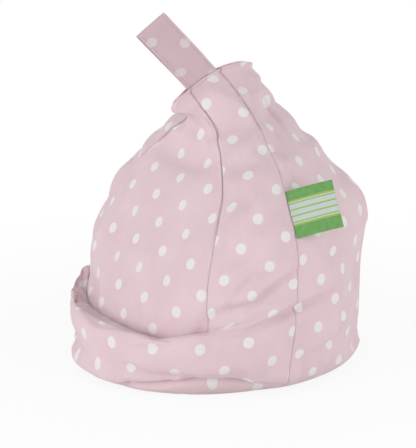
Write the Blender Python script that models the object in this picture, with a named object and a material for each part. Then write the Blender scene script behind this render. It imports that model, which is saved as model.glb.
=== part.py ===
"""A tablet cushion stand: a small cushion sewn from cloth and filled with beads.

A fat rolled lip runs round the front, with a groove behind it that takes the
tablet's edge. A sloping backrest panel rises from the groove to a pinched
ridge, where a folded strap is sewn in, and a folded label sits in a side seam.

Run it with: blender --background --python part.py
Sizes are in metres. X runs from side to side, the lip faces -Y and Z is up.
The origin is the middle of the flat base, on the surface that it stands on.
"""
import math
from typing import NamedTuple

import bmesh
import bpy
import numpy as np

# Cloth and clearances
CLOTH = 0.0010                  # a panel, with its turned edges
GAP = 0.0003                    # between any two pieces that meet
FILLING_GAP = 0.0006            # between the cover and its filling

# The ridge, where the panels are pinched together in the plane X = 0
RIDGE_FRONT = 0.042             # how far its front end lies ahead of the origin
RIDGE_BACK = 0.037              # how far its rear end lies behind the origin
RIDGE_SEAM_Y = 0.0075           # where the two side seams meet it
RIDGE_PEAK_Y = 0.024            # its highest point
RIDGE_HEIGHT = 0.2525
RIDGE_DROP = 6.1                # how fast it falls away from that point, per metre
RIDGE_END_ANGLE = math.radians(20)  # its two ends are rounded over this much of the ring
PINCH_DEPTH = 0.0075            # height of the stitched fin under the ridge
PINCH_SPREAD = 0.0008           # how much each side of the fin's foot stands out

# The folded strap
STRAP_CLOTH = 0.0012
STRAP_WIDTH = 0.030
STRAP_LENGTH = 0.0706           # seen above the ridge, along its middle
STRAP_TAIL = 0.009              # held between the panels
STRAP_Y = -0.0148               # where its middle leaves the ridge
STRAP_LEAN = math.radians(43.9)  # forward of upright
STRAP_BULGE = 0.0020            # half the distance between its layers at the fold
STRAP_END_SKEW = -0.19          # the fold runs a little out of square
STRAP_OPENING = (0.006, 0.040)  # the stretch over which its layers part

# The folded label in the right side seam
LABEL_CLOTH = 0.0008
LABEL_WIDTH = 0.0385
LABEL_HEIGHT = 0.040
LABEL_HEIGHT_MIDDLE = 0.1485
LABEL_STAND_OFF = math.radians(37)
LABEL_BOW = 0.0012              # how much its face swells

# The grid that every skin is made on
COLUMNS = 64
BACKREST_HALF_ANGLE = math.radians(50.7)
GROOVE_FULL_ANGLE = math.radians(30)
GROOVE_END_ANGLE = math.radians(92)
FRONT = math.radians(270)


class Section(NamedTuple):
    """One level ring of the skin; heights differ at its side, back and front."""
    name: str
    half_width: float
    back: float
    front: float
    side_y: float
    side_height: float
    back_height: float
    front_height: float
    back_fullness: float        # 1 is an ellipse, more is flatter
    front_fullness: float
    steps: int                  # grid rows up to the next section


SECTIONS = (
    Section("base_flat", 0.103, 0.108, 0.105, -0.003, 0, 0, 0, 1.08, 1.06, 1),
    Section("base_skirt", 0.111, 0.116, 0.113, -0.004, 0.0018, 0.0018, 0.0018, 1.09, 1.07, 1),
    Section("base_seam", 0.115, 0.120, 0.117, -0.005, 0.0065, 0.006, 0.0065, 1.10, 1.08, 1),
    Section("base_turn", 0.118, 0.1215, 0.120, -0.006, 0.014, 0.013, 0.014, 1.10, 1.08, 2),
    Section("lower_wall", 0.121, 0.122, 0.121, -0.006, 0.032, 0.032, 0.028, 1.10, 1.10, 2),
    Section("lip_front", 0.123, 0.122, 0.1235, -0.004, 0.050, 0.054, 0.040, 1.10, 1.12, 2),
    Section("lip_top", 0.124, 0.123, 0.1185, -0.002, 0.074, 0.082, 0.062, 1.05, 1.15, 3),
    Section("groove", 0.121, 0.125, 0.100, 0.000, 0.096, 0.106, 0.040, 1.05, 1.12, 2),
    Section("lower_rest", 0.121, 0.126, 0.094, 0.001, 0.120, 0.128, 0.068, 1.05, 1.45, 2),
    Section("middle_rest", 0.108, 0.121, 0.066, 0.003, 0.148, 0.150, 0.116, 1.00, 2.20, 3),
    Section("upper_rest", 0.083, 0.096, 0.036, 0.007, 0.181, 0.176, 0.168, 1.00, 2.20, 3),
    Section("crown", 0.040, 0.060, 0.018, 0.012, 0.215, 0.214, 0.205, 1.00, 1.80, 3),
)
LEVELS = {section.name: number for number, section in enumerate(SECTIONS)}
LEVELS["ridge_foot"] = len(SECTIONS)
LEVELS["ridge"] = len(SECTIONS) + 1
FILLING_TOP = LEVELS["crown"] + 0.4     # the beads stop short of the pinched ridge


class Fold(NamedTuple):
    """A crease: angles in degrees and levels along it, its depth and its width."""
    path: tuple
    depth: float                # below nought stands proud
    width: float


def on(level_name, share=0.0):
    """A level number, a share of the way to the next section."""
    return LEVELS[level_name] + share


SIDE_FOLDS = (
    Fold(((-36, on("groove", 0.1)), (-20, on("groove", 0.05)), (-2, on("groove", 0.1))), 0.0040, 0.011),
    Fold(((-36, on("groove", 0.8)), (-20, on("groove", 0.7)), (-3, on("groove", 0.7))), 0.0025, 0.009),
    Fold(((-24, on("lip_front", 0.6)), (0, on("lip_top", 0.1)), (18, on("lip_top", 0.3))), 0.0030, 0.009),
    Fold(((2, on("base_turn", 0.6)), (13, on("lower_wall")), (25, on("lower_wall", 0.3))), 0.0020, 0.009),
    Fold(((-66, on("base_turn")), (-46, on("base_turn", 0.3)), (-16, on("base_seam", 0.9))), 0.0025, 0.008),
    Fold(((33, on("crown", 0.4)), (18, on("upper_rest", 0.9)), (5, on("upper_rest", 0.1))), 0.0035, 0.010),
    Fold(((-42, on("crown", 0.8)), (-41, on("crown", 0.3)), (-32, on("upper_rest", 0.8))), 0.0035, 0.009),
    Fold(((50, on("middle_rest", 0.5)), (53, on("lower_rest", 0.7)), (47, on("lower_rest", 0.1))), -0.0035, 0.014),
)
BACK_FOLDS = (
    Fold(((74, on("crown", 0.8)), (68, on("crown")), (60, on("upper_rest", 0.2))), 0.0040, 0.010),
    Fold(((106, on("crown", 0.8)), (113, on("crown")), (122, on("upper_rest", 0.3))), 0.0040, 0.010),
    Fold(((90, on("crown", 0.7)), (92, on("upper_rest", 0.7)), (95, on("upper_rest", 0.1))), 0.0030, 0.009),
)

# Materials: linear colours with roughness
PINK_CLOTH = ((0.72, 0.53, 0.57), 0.88)
BEAD_WHITE = ((0.86, 0.86, 0.84), 0.60)
LABEL_GREEN = ((0.14, 0.43, 0.09), 0.62)


def remove_everything():
    for thing in list(bpy.data.objects):
        bpy.data.objects.remove(thing, do_unlink=True)


def ease(share):
    """Nought to one with level ends."""
    share = np.clip(share, 0, 1)
    return share * share * (3 - 2 * share)


def front_share(angles):
    """One across the front of the cushion, falling to nought at its sides."""
    off = np.abs((angles - FRONT + math.pi) % math.tau - math.pi)
    return 1 - ease((off - GROOVE_FULL_ANGLE) / (GROOVE_END_ANGLE - GROOVE_FULL_ANGLE))


def section_ring(section, angles):
    """Points round one section."""
    sine = np.sin(angles)
    behind = sine > 0
    fullness = np.where(behind, section.back_fullness, section.front_fullness)
    reach = np.where(behind, section.back - section.side_y, -section.front - section.side_y)
    y = section.side_y + reach * (1 - (1 - np.abs(sine)) ** fullness)
    height = section.side_height + (section.back_height - section.side_height) * np.clip(sine, 0, 1) ** 2
    height = height + (section.front_height - height) * front_share(angles)
    return np.stack([section.half_width * np.cos(angles), y, height], axis=-1)


def ridge_height(y):
    return RIDGE_HEIGHT - RIDGE_DROP * (y - RIDGE_PEAK_Y) ** 2


def ridge_half():
    """Half the ridge's thickness: a panel, then half the folded strap."""
    return CLOTH + GAP * 2 + STRAP_CLOTH


def ridge_ring(angles, drop, spread):
    """A long thin ring round the pinched top edge, or round the foot of its fin."""
    cosine, sine = np.cos(angles), np.sin(angles)
    reach = np.where(sine > 0, RIDGE_BACK - RIDGE_SEAM_Y, RIDGE_FRONT + RIDGE_SEAM_Y)
    y = RIDGE_SEAM_Y + reach * sine
    squareness = np.sqrt(np.clip(np.abs(cosine) / math.sin(RIDGE_END_ANGLE), 0, 1))
    x = (ridge_half() + spread) * np.sign(cosine) * squareness
    return np.stack([x, y, ridge_height(y) - drop], axis=-1)


def all_rings(angles):
    """Every section in order, with one more at each end for the smooth curve."""
    rings = [section_ring(section, angles) for section in SECTIONS]
    rings.append(ridge_ring(angles, PINCH_DEPTH, PINCH_SPREAD))
    rings.append(ridge_ring(angles, 0, 0))
    before = 2 * rings[0] - rings[1]
    after = 2 * rings[-1] - rings[-2]
    return np.stack([before] + rings + [after])


def skin_at(levels, angles):
    """Points of the cushion's outer skin, on smooth curves through the sections."""
    rings = all_rings(angles)
    lower = np.clip(np.floor(levels).astype(int), 0, len(rings) - 4)
    share = (levels - lower)[:, None]
    a, b, c, d = (rings[lower + step, np.arange(len(angles))] for step in range(4))
    bend = (2 * a - 5 * b + 4 * c - d) * share ** 2 + (3 * b - a - 3 * c + d) * share ** 3
    return 0.5 * (2 * b + (c - a) * share + bend)


def grid_levels():
    """The level of each grid row, from the flat of the base to the ridge."""
    levels = []
    for number, section in enumerate(SECTIONS):
        levels += [number + step / section.steps for step in range(section.steps)]
    return levels + [LEVELS["ridge_foot"], LEVELS["ridge"]]


def grid_angles():
    return np.arange(COLUMNS) * math.tau / COLUMNS


def smooth_skin():
    angles = grid_angles()
    return np.stack([skin_at(np.full(COLUMNS, float(level)), angles) for level in grid_levels()])


def outward(skin):
    """Unit normals of a skin; the flat of the base faces straight down."""
    around = np.roll(skin, -1, axis=1) - np.roll(skin, 1, axis=1)
    normals = np.cross(around, np.gradient(skin, axis=0))
    normals /= np.linalg.norm(normals, axis=-1, keepdims=True)
    normals[0] = (0, 0, -1)
    return normals


def fold_line(fold, samples=25):
    """Points on the skin along a fold's path."""
    knots = np.linspace(0, 1, len(fold.path))
    shares = np.linspace(0, 1, samples)
    angles = np.radians(np.interp(shares, knots, [place[0] for place in fold.path]))
    levels = np.interp(shares, knots, [place[1] for place in fold.path])
    return skin_at(levels, angles)


def fold_depths(skin, fold):
    """How far each grid point sinks into one fold, which fades at its ends."""
    apart = np.linalg.norm(skin[:, :, None, :] - fold_line(fold), axis=-1)
    along = apart.argmin(axis=-1) / (apart.shape[-1] - 1)
    fade = 1 - (2 * along - 1) ** 4
    return fold.depth * fade * np.exp(-(apart.min(axis=-1) / fold.width) ** 2)


def mirrored(fold):
    """The same fold on the other side of the cushion."""
    return fold._replace(path=tuple((180 - angle, level) for angle, level in fold.path))


def rounded(skin, rounds=2, share=0.4):
    """Rounds off the lip and the groove; the base and the ridge keep their form."""
    free = slice(row_of("base_turn") + 1, row_of("ridge_foot"))
    for _ in range(rounds):
        beside = (skin[free.start - 1:free.stop - 1] + skin[free.start + 1:free.stop + 1]) / 2
        skin[free] += share * (beside - skin[free])
    return skin


def folded_skin():
    """The outer skin with its creases; the base and the ridge keep their form."""
    skin = rounded(smooth_skin())
    folds = SIDE_FOLDS + tuple(mirrored(fold) for fold in SIDE_FOLDS) + BACK_FOLDS
    depths = sum(fold_depths(skin, fold) for fold in folds)
    levels = np.array(grid_levels())
    depths[(levels <= LEVELS["base_seam"]) | (levels >= LEVELS["ridge_foot"])] = 0
    return skin - depths[..., None] * softened(outward(skin))


def softened(directions, rounds=4):
    """Directions averaged with their neighbours, so that a fold sinks in one piece."""
    for _ in range(rounds):
        ends = np.concatenate([directions[:1], directions, directions[-1:]])
        beside = np.roll(directions, 1, axis=1) + np.roll(directions, -1, axis=1)
        directions = directions * 2 + beside + ends[:-2] + ends[2:]
        directions = directions / np.linalg.norm(directions, axis=-1, keepdims=True)
    return directions


def cloth_inside(skin, normals):
    """The cloth's inner side; along the ridge its edges are turned in, but for the strap's slot."""
    inner = skin - normals * CLOTH
    top = skin[-1]
    half_slot = STRAP_WIDTH / 2 + CLOTH * 3
    turned_in = (np.abs(top[:, 1] - STRAP_Y) > half_slot) & (np.abs(top[:, 0]) > CLOTH)
    inner[-1, turned_in] = top[turned_in]
    inner[-1, turned_in, 0] = np.copysign(GAP / 2, top[turned_in, 0])
    return inner


def row_of(level_name):
    return grid_levels().index(LEVELS[level_name])


def column_at(angle):
    return round(angle / math.tau * COLUMNS) % COLUMNS


def cell(row, column):
    """The four grid corners of one cell, anticlockwise from outside."""
    after = (column + 1) % COLUMNS
    return ((row, column % COLUMNS), (row, after), (row + 1, after), (row + 1, column % COLUMNS))


def backrest_columns():
    first = column_at(FRONT - BACKREST_HALF_ANGLE)
    return range(first, column_at(FRONT + BACKREST_HALF_ANGLE))


def backrest_cells():
    """The panel that the tablet leans on, from the groove up to the ridge."""
    rows = range(row_of("groove"), row_of("ridge"))
    return [cell(row, column) for row in rows for column in backrest_columns()]


def wrap_cells():
    """The lip and both sides in one piece, cut away round the backrest."""
    backrest = set(backrest_cells())
    rows = range(row_of("base_seam"), row_of("ridge"))
    front_half = [cell(row, column) for row in rows for column in range(COLUMNS // 2, COLUMNS)]
    return [corners for corners in front_half if corners not in backrest]


def back_cells():
    rows = range(row_of("base_seam"), row_of("ridge"))
    return [cell(row, column) for row in rows for column in range(COLUMNS // 2)]


def base_cells():
    """The round base with its turned-up edge, and one face across its flat."""
    rows = range(row_of("base_seam"))
    skirt = [cell(row, column) for row in rows for column in range(COLUMNS)]
    return skirt + [tuple((0, column) for column in reversed(range(COLUMNS)))]


def triangles(cells, skin):
    """Splits each four-sided cell across its shorter diagonal, alike on every skin."""
    faces = []
    for corners in cells:
        if len(corners) != 4:
            faces.append(corners)
            continue
        a, b, c, d = corners
        across = np.linalg.norm(skin[a] - skin[c]) <= np.linalg.norm(skin[b] - skin[d])
        faces += [(a, b, c), (a, c, d)] if across else [(a, b, d), (b, c, d)]
    return faces


def rim_edges(faces):
    """The edges that only one face has, in that face's own direction."""
    edges = {(start, end) for face in faces for start, end in zip(face, face[1:] + face[:1])}
    return sorted(edge for edge in edges if edge[::-1] not in edges)


def unit(vector):
    return vector / np.linalg.norm(vector)


def seam_shifts(skin, normals, faces):
    """Draws a panel's rim in by half a gap, so that it meets its neighbours without touching."""
    inward = {}
    for start, end in rim_edges(faces):
        along = skin[end] - skin[start]
        for corner in (start, end):
            inward.setdefault(corner, []).append(unit(np.cross(normals[corner], along)))
    shifts = np.zeros_like(skin)
    for corner, (one, other) in inward.items():
        shifts[corner] = (GAP / 2) * (one + other) / (1 + one @ other)
    return shifts


def material(name, colour, roughness):
    """A plain Principled material."""
    made = bpy.data.materials.new(name)
    made.use_nodes = True
    shader = made.node_tree.nodes["Principled BSDF"]
    shader.inputs["Base Color"].default_value = (*colour, 1)
    shader.inputs["Roughness"].default_value = roughness
    shader.inputs["Metallic"].default_value = 0
    return made


def place(name, bm, finish):
    """Turns a bmesh into a named object with its own material."""
    bmesh.ops.recalc_face_normals(bm, faces=bm.faces)
    mesh = bpy.data.meshes.new(name)
    bm.to_mesh(mesh)
    bm.free()
    mesh.shade_smooth()
    mesh.set_sharp_from_angle(angle=math.radians(50))
    mesh.materials.append(material(name, *finish))
    made = bpy.data.objects.new(name, mesh)
    bpy.context.scene.collection.objects.link(made)
    return made


def cloth_piece(name, outer, inner, faces, finish):
    """A closed piece of cloth: the same faces on two skins, joined round the rim."""
    bm = bmesh.new()
    corners = sorted({corner for face in faces for corner in face})
    skins = []
    for points in (outer, inner):
        verts = {corner: bm.verts.new(points[corner]) for corner in corners}
        for face in faces:
            bm.faces.new([verts[corner] for corner in face])
        skins.append(verts)
    above, below = skins
    for start, end in rim_edges(faces):
        bm.faces.new((above[start], above[end], below[end], below[start]))
    return place(name, bm, finish)


def sewn_panels(skin, normals):
    """The four panels of the cover."""
    inner = cloth_inside(skin, normals)
    panels = {
        "backrest_panel": backrest_cells(),
        "wrap_panel": wrap_cells(),
        "back_panel": back_cells(),
        "base_panel": base_cells(),
    }
    for name, cells in panels.items():
        faces = triangles(cells, skin)
        shifts = seam_shifts(skin, normals, faces)
        cloth_piece(name, skin + shifts, inner + shifts, faces, PINK_CLOTH)


def bead_filling(skin, normals):
    """The beads as one solid that fills the cover, closed by a strip across its top."""
    beads = skin - normals * (CLOTH + FILLING_GAP)
    top = sum(level <= FILLING_TOP for level in grid_levels()) - 1
    cells = [cell(row, column) for row in range(top) for column in range(COLUMNS)]
    faces = triangles(cells, skin) + [tuple((0, column) for column in range(COLUMNS))]
    front = column_at(FRONT)
    for step in range(COLUMNS // 2):
        right = [(top, (front + count) % COLUMNS) for count in (step, step + 1)]
        left = [(top, (front - count) % COLUMNS) for count in (step + 1, step)]
        faces.append(tuple(dict.fromkeys(right + left)))
    bm = bmesh.new()
    verts = {corner: bm.verts.new(beads[corner]) for corner in np.ndindex(top + 1, COLUMNS)}
    for face in faces:
        bm.faces.new([verts[corner] for corner in face])
    return place("bead_filling", bm, BEAD_WHITE)


def strap_centreline():
    """Points (x, distance along) down the middle of the folded strap's cloth."""
    root_half = (STRAP_CLOTH + GAP) / 2
    turn = STRAP_LENGTH - STRAP_BULGE - STRAP_CLOTH / 2
    opens, opened = STRAP_OPENING
    leg = np.linspace(-STRAP_TAIL, turn, 12)
    half = root_half + (STRAP_BULGE - root_half) * ease((leg - opens) / (opened - opens))
    arc = np.linspace(0, math.pi, 9)[1:-1]
    bend = np.stack([STRAP_BULGE * np.cos(arc), turn + STRAP_BULGE * np.sin(arc)], axis=-1)
    up = np.stack([half, leg], axis=-1)
    down = np.stack([-half, leg], axis=-1)[::-1]
    return np.concatenate([up, bend, down])


def offset_line(line, distance):
    """A flat line moved sideways, to its right."""
    along = np.gradient(line, axis=0)
    along /= np.linalg.norm(along, axis=-1, keepdims=True)
    return line + distance * np.stack([along[:, 1], -along[:, 0]], axis=-1)


def ridge_skew():
    """How far along the strap the ridge climbs, for each metre across its width."""
    ridge_tilt = math.atan(2 * RIDGE_DROP * (RIDGE_PEAK_Y - STRAP_Y))
    return math.tan(ridge_tilt - STRAP_LEAN)


def strap_points(line):
    """Lays a flat line and its copies across the strap's width into the cushion's frame."""
    along_way = np.array([0, -math.sin(STRAP_LEAN), math.cos(STRAP_LEAN)])
    across_way = np.array([0, math.cos(STRAP_LEAN), math.sin(STRAP_LEAN)])
    root = np.array([0, STRAP_Y, ridge_height(STRAP_Y)])
    share = ((line[:, 1] + STRAP_TAIL) / (STRAP_LENGTH + STRAP_TAIL))[:, None]
    widths = np.linspace(-STRAP_WIDTH / 2, STRAP_WIDTH / 2, 3)[None, :]
    skew = (1 - share) * ridge_skew() + share * STRAP_END_SKEW
    along = line[:, 1][:, None] + skew * widths
    points = root + along[..., None] * along_way + widths[..., None] * across_way
    points[..., 0] += line[:, 0][:, None]
    return points


def strip_cells(rows, columns):
    """The cells of a plain grid that doesn't close on itself."""
    return [
        ((row, column), (row, column + 1), (row + 1, column + 1), (row + 1, column))
        for row in range(rows - 1)
        for column in range(columns - 1)
    ]


def handle_strap():
    """The strap: one strip folded in half, its two ends sewn into the ridge."""
    line = strap_centreline()
    outer = strap_points(offset_line(line, STRAP_CLOTH / 2))
    inner = strap_points(offset_line(line, -STRAP_CLOTH / 2))
    faces = triangles(strip_cells(*outer.shape[:2]), outer)
    return cloth_piece("handle_strap", outer, inner, faces, PINK_CLOTH)


def seam_line(skin, heights):
    """Points and outward directions on the right side seam at given heights."""
    seam = skin[row_of("lower_rest"):row_of("crown"), 0]
    points = np.stack([np.interp(heights, seam[:, 2], seam[:, axis]) for axis in range(3)], axis=-1)
    along = np.gradient(points, axis=0)
    away = np.stack([along[:, 2], np.zeros(len(heights)), -along[:, 0]], axis=-1)
    return points, away / np.linalg.norm(away, axis=-1, keepdims=True)


def seam_rise(skin, length):
    """How much a length of the side seam rises, about the label's middle."""
    ends = LABEL_HEIGHT_MIDDLE + np.array([-length, length]) / 4
    low, high = seam_line(skin, ends)[0]
    return length * (high - low)[2] / np.linalg.norm(high - low)


def side_label(skin):
    """The label: a folded tab whose raw end is held at the side seam."""
    half_rise = seam_rise(skin, LABEL_HEIGHT) / 2
    heights = np.linspace(LABEL_HEIGHT_MIDDLE - half_rise, LABEL_HEIGHT_MIDDLE + half_rise, 7)
    seam, away = seam_line(skin, heights)
    out_way, rear_way = unit(away.mean(axis=0)), np.array([0, 1, 0])
    reach_way = math.cos(LABEL_STAND_OFF) * rear_way + math.sin(LABEL_STAND_OFF) * out_way
    face_way = math.cos(LABEL_STAND_OFF) * out_way - math.sin(LABEL_STAND_OFF) * rear_way
    shares = np.linspace(0, 1, 6)
    root = seam + away * (GAP + LABEL_CLOTH / 2)
    reach = shares[None, :, None] * LABEL_WIDTH * reach_way
    bow = LABEL_BOW * np.sin(shares * math.pi)
    middle = root[:, None, :] + reach + bow[None, :, None] * face_way
    half = face_way * LABEL_CLOTH / 2
    faces = triangles(strip_cells(*middle.shape[:2]), middle)
    return cloth_piece("side_label", middle + half, middle - half, faces, LABEL_GREEN)


def build():
    remove_everything()
    skin = folded_skin()
    normals = outward(skin)
    sewn_panels(skin, normals)
    bead_filling(skin, normals)
    handle_strap()
    side_label(skin)


build()
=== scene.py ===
# %% [markdown]
# # A cushion stand in dotted cotton
#
# This stand is a small bag of beads with a groove and a backrest. The packed model gives its
# solids: four cloth panels, the filling, a folded strap and a side label. This script gives
# them their looks. It sews a finer cover round the same solids, lets Blender's cloth
# simulation pull it into soft wrinkles, cuts it into panels along the real seams, and
# prints dots on it. All sizes are in metres, the lip faces -Y and Z is up.

# %% Load the frame and note its size
import math
from typing import NamedTuple

import bmesh
import bpy
import numpy as np
from mathutils import Matrix, Vector


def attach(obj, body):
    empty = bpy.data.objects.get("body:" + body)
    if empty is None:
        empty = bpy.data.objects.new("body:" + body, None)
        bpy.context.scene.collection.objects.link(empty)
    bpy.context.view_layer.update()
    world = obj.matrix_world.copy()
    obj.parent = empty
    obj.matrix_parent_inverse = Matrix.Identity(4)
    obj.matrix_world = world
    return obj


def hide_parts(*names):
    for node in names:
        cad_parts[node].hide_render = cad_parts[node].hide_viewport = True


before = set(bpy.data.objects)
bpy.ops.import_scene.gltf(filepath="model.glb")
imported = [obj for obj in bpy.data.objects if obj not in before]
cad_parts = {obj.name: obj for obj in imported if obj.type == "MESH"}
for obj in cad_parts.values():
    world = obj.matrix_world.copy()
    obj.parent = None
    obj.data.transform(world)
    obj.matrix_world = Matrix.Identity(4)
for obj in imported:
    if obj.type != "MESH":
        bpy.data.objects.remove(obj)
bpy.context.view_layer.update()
print("solids:", sorted(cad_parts))

# %% [markdown]
# ## Camera
#
# A product photograph like this one is taken from a few steps away with a long lens, so its
# lines hardly converge. The camera stands to the front right, a little above the cushion.
# The place is worked out backwards: the middle of the base should land on a chosen point of
# the picture, so the camera slides sideways and down until it does.

# %% Camera
PICTURE_WIDTH, PICTURE_HEIGHT = 416, 448
FOCAL_PIXELS = 2300
CAMERA_DISTANCE = 1.977
CAMERA_AZIMUTH = math.radians(57)
CAMERA_ELEVATION = math.radians(16.5)
BASE_MIDDLE_PIXEL = (216, 353)
SENSOR_MM = 36


def camera_axes(azimuth, elevation):
    """Right, up and backward directions of a camera that looks at the origin."""
    backward = Vector((
        math.sin(azimuth) * math.cos(elevation),
        -math.cos(azimuth) * math.cos(elevation),
        math.sin(elevation),
    ))
    right = Vector((math.cos(azimuth), math.sin(azimuth), 0))
    return right, backward.cross(right), backward


def add_object(name, data):
    """A new object in the scene."""
    made = bpy.data.objects.new(name, data)
    bpy.context.scene.collection.objects.link(made)
    return made


def photo_camera():
    right, up, backward = camera_axes(CAMERA_AZIMUTH, CAMERA_ELEVATION)
    metres_per_pixel = CAMERA_DISTANCE / FOCAL_PIXELS
    slide_right = (PICTURE_WIDTH / 2 - BASE_MIDDLE_PIXEL[0]) * metres_per_pixel
    slide_up = (BASE_MIDDLE_PIXEL[1] - PICTURE_HEIGHT / 2) * metres_per_pixel
    place = right * slide_right + up * slide_up + backward * CAMERA_DISTANCE
    lens = bpy.data.cameras.new("photo_camera")
    lens.sensor_width = SENSOR_MM
    lens.lens = SENSOR_MM * FOCAL_PIXELS / max(PICTURE_WIDTH, PICTURE_HEIGHT)
    camera = add_object("photo_camera", lens)
    turn = Matrix((right, up, backward)).transposed().to_4x4()
    camera.matrix_world = Matrix.Translation(place) @ turn
    bpy.context.scene.camera = camera
    return camera


camera = photo_camera()
print("camera at", [round(value, 3) for value in camera.location], "lens", round(camera.data.lens, 1))

# %% [markdown]
# ## Shader sums
#
# A procedural material is a sum over the surface: distances, waves and noise that end up as
# a colour or a bump. Wiring such sums by hand hides what they mean. Here a small class wraps
# a socket, so that plain Python such as `1 - mask` adds the nodes. Any other node comes from
# one method, which takes its type, its settings and the values of its sockets.


# %% A socket that can be added, multiplied and compared
class Wire:
    """One output socket of a material; arithmetic on it adds Math nodes."""

    def __init__(self, finish, socket):
        self.finish, self.socket = finish, socket

    def math(self, operation, *values):
        inputs = dict(enumerate(values))
        return self.finish.node("ShaderNodeMath", {"operation": operation}, inputs)

    def __add__(self, other):
        return self.math("ADD", self, other)

    __radd__ = __add__

    def __sub__(self, other):
        return self.math("SUBTRACT", self, other)

    def __rsub__(self, other):
        return self.math("SUBTRACT", other, self)

    def __mul__(self, other):
        return self.math("MULTIPLY", self, other)

    __rmul__ = __mul__

    def __truediv__(self, other):
        return self.math("DIVIDE", self, other)

    def __pow__(self, other):
        return self.math("POWER", self, other)

    def __abs__(self):
        return self.math("ABSOLUTE", self)

    def fraction(self):
        return self.math("FRACT", self)

    def sine(self):
        return self.math("SINE", self)

    def lesser(self, other):
        return self.math("MINIMUM", self, other)

    def greater(self, other):
        return self.math("MAXIMUM", self, other)

    def between(self, start, end):
        """Nought below start, one above end, and a soft step from one to the other."""
        settings = {"interpolation_type": "SMOOTHSTEP", "clamp": True}
        return self.finish.node("ShaderNodeMapRange", settings, {0: self, 1: start, 2: end})


print("operators of a wire:", [name for name in vars(Wire) if name.startswith("__r")])

# %% A material under construction
class Finish:
    """A material under construction, around one Principled shader."""

    def __init__(self, name):
        self.material = bpy.data.materials.new(name)
        self.material.use_nodes = True
        self.tree = self.material.node_tree
        self.shader = self.tree.nodes["Principled BSDF"]

    def feed(self, socket, value):
        """Links a wire to a socket, or sets its value."""
        if isinstance(value, Wire):
            self.tree.links.new(value.socket, socket)
        elif isinstance(value, tuple) and len(value) == 3 and len(socket.default_value) == 4:
            socket.default_value = (*value, 1)
        else:
            socket.default_value = value

    def node(self, kind, settings=None, inputs=None, output=0):
        """Adds a node: its settings first, then the values or links of its sockets."""
        made = self.tree.nodes.new(kind)
        for name, value in (settings or {}).items():
            setattr(made, name, value)
        for name, value in (inputs or {}).items():
            self.feed(made.inputs[name], value)
        return Wire(self, made.outputs[output])

    def mix(self, share, first, second, blend="MIX"):
        """A colour between two others."""
        settings = {"data_type": "RGBA", "blend_type": blend}
        return self.node("ShaderNodeMix", settings, {0: share, 6: first, 7: second}, output=2)

    def shaded(self, colour, share):
        """A colour times a number, the same for all its parts."""
        grey = self.node("ShaderNodeCombineXYZ", None, {0: share, 1: share, 2: share})
        return self.mix(1.0, colour, grey, "MULTIPLY")

    def parts(self, vector):
        """The three numbers of a vector."""
        split = self.node("ShaderNodeSeparateXYZ", None, {0: vector}).socket.node
        return [Wire(self, socket) for socket in split.outputs]

    def noise(self, place, scale, detail=2.0, roughness=0.5):
        inputs = {"Vector": place, "Scale": scale, "Detail": detail, "Roughness": roughness}
        return self.node("ShaderNodeTexNoise", None, inputs)

    def bump(self, height, distance):
        """A normal from heights in units of the given distance, in metres."""
        inputs = {"Height": height, "Distance": distance, "Strength": 1.0}
        return self.node("ShaderNodeBump", None, inputs)

    def surface(self, **values):
        """Sets the shader's own sockets; underscores stand for spaces."""
        for name, value in values.items():
            self.feed(self.shader.inputs[name.replace("_", " ")], value)
        return self.material


print("a finish can add:", [name for name in vars(Finish) if not name.startswith("_")])

# %% [markdown]
# ## Dotted cotton
#
# The cover is plain-woven cotton, dyed pale pink and printed with off-white dots. The dots
# stand in rows that are staggered by half a step, which is two square lattices laid over
# each other. Every panel gets flat cutting coordinates in metres later on, so one material
# serves them all: it measures how far a point is from the nearest dot, and it weaves threads
# along the same coordinates. Broad noise makes the dye slightly uneven.

# %% Cotton
CUTTING = "cutting"                 # the name of the flat coordinates
DOT_PITCH = 0.0400                  # from a dot to the next in its own row
DOT_RADIUS = 0.0045
DOT_EDGE = 0.0005
THREAD_PITCH = 0.00052
THREAD_HEIGHT = 0.00006
SLUB_SCALE, BLOTCH_SCALE = 900.0, 28.0
PINK = (0.725, 0.562, 0.592)
PINK_DEEP = (0.690, 0.523, 0.556)
DOT_WHITE = (0.765, 0.735, 0.725)
# The strap is the cover's own cotton; its darker pinks and dots below are painted shade.
STRAP_PAINTED_SHADE_PINK = (0.610, 0.455, 0.485)
STRAP_PAINTED_SHADE_PINK_DEEP = (0.575, 0.420, 0.455)
STRAP_PAINTED_SHADE_DOT_WHITE = (0.635, 0.578, 0.570)


def flat_place(finish):
    """The cutting coordinates, in metres along the cloth's own threads."""
    return finish.node("ShaderNodeUVMap", {"uv_map": CUTTING})


def dot_mask(across, along):
    """One inside a printed dot."""
    def lattice(shift):
        x = (across / DOT_PITCH + shift).fraction() - 0.5
        y = (along / DOT_PITCH + shift).fraction() - 0.5
        return (x * x + y * y) ** 0.5 * DOT_PITCH
    distance = lattice(0.5).lesser(lattice(0.0))
    return 1 - distance.between(DOT_RADIUS - DOT_EDGE, DOT_RADIUS + DOT_EDGE)


def woven(across, along):
    """Heights of a plain weave: threads that pass over and under each other."""
    warp = (across * (math.tau / THREAD_PITCH)).sine()
    weft = (along * (math.tau / THREAD_PITCH)).sine()
    return warp * weft * 0.5 + 0.5


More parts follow.
